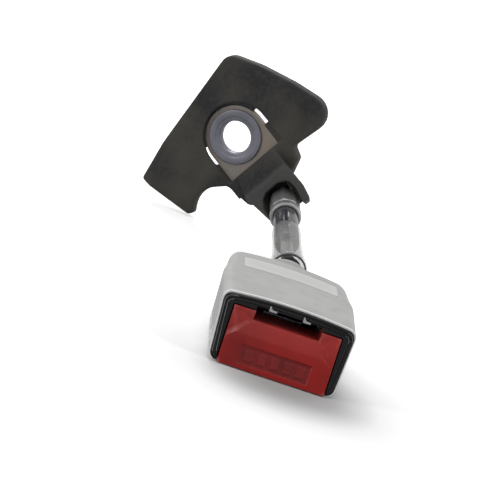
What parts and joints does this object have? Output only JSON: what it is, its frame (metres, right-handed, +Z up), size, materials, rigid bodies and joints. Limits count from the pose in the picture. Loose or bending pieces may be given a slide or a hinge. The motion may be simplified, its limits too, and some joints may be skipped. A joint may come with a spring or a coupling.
{
  "type": "seat belt buckle",
  "caption": "Press-release seat belt buckle with a latch head on a sleeved wire rope stalk, crimped to a bolt-on anchor bracket under a moulded cover.",
  "frame": {"origin": "centre of the anchor's bolt hole, halfway through the bush", "axes": "+Y from the press button towards the anchor, along the head; +Z up from the head's flat base; +X to the right as seen from the button"},
  "size_m": [0.0883, 0.2099, 0.0746],
  "materials": {
    "cover_plastic": "satin, fine grain",
    "label": "satin film, blank",
    "bezel_plastic": "gloss",
    "bright_steel": "bright",
    "button_plastic": "semi-gloss",
    "frame_steel": "zinc plated",
    "spring_steel": "bright wire",
    "lock_plastic": "moulded",
    "ejector_plastic": "moulded",
    "rope_steel": "stranded wire",
    "grommet_rubber": "matt",
    "sleeve_plastic": "matt",
    "boot_plastic": "translucent",
    "rim_rubber": "matt",
    "seal_rubber": "matt",
    "bracket_steel": "dull, lightly tinted",
    "ferrule_steel": "crimped",
    "bush_steel": "pressed",
    "anchor_plastic": "matt, dusty"
  },
  "bodies": {
    "housing": {"upper_cover": "cover_plastic", "lower_cover": "cover_plastic", "label_plate": "label", "bezel": "bezel_plastic", "slot_clips": "bright_steel", "frame": "frame_steel", "latch_pin": "bright_steel", "latch_spring": "spring_steel", "ejector_spring": "spring_steel", "button_spring_left": "spring_steel", "button_spring_right": "spring_steel", "rope_socket": "frame_steel", "socket_pin": "bright_steel", "wire_rope": "rope_steel", "cable_grommet": "grommet_rubber", "stalk_sleeve": "sleeve_plastic", "sleeve_boot": "boot_plastic", "boot_rim": "rim_rubber", "boot_seal": "seal_rubber", "anchor_bracket": "bracket_steel", "anchor_ferrule": "ferrule_steel", "anchor_bush": "bush_steel", "anchor_cover": "anchor_plastic"},
    "button": {"press_button": "button_plastic"},
    "lock": {"lock_slider": "lock_plastic", "lock_pin": "bright_steel"},
    "ejector": {"ejector": "ejector_plastic"},
    "latch": {"latch": "frame_steel"}
  },
  "joints": [
    {"name": "button_slide", "type": "slide", "parent": "housing", "child": "button", "axis": [0, 1, 0], "range_m": [0, 0.006], "stiffness_N_per_m": 1200, "springref_m": -0.003, "deforming": ["button_spring_left", "button_spring_right"]},
    {"name": "lock_slide", "type": "slide", "parent": "housing", "child": "lock", "axis": [0, 1, 0], "range_m": [0, 0.006]},
    {"name": "ejector_slide", "type": "slide", "parent": "housing", "child": "ejector", "axis": [0, 1, 0], "range_m": [0, 0.01], "stiffness_N_per_m": 600, "springref_m": -0.008, "deforming": ["ejector_spring"]},
    {"name": "latch_pivot", "type": "hinge", "parent": "housing", "child": "latch", "pos_m": [0.0285, -0.143, -0.0286], "axis": [-1, 0, 0], "range_deg": [0, 15], "deforming": ["latch_spring"]}
  ],
  "couplings": [
    {"joint": "lock_slide", "follows": "button_slide", "ratio": 1},
    {"joint": "latch_pivot", "follows": "ejector_slide", "rad_per_m": 26.179}
  ]
}
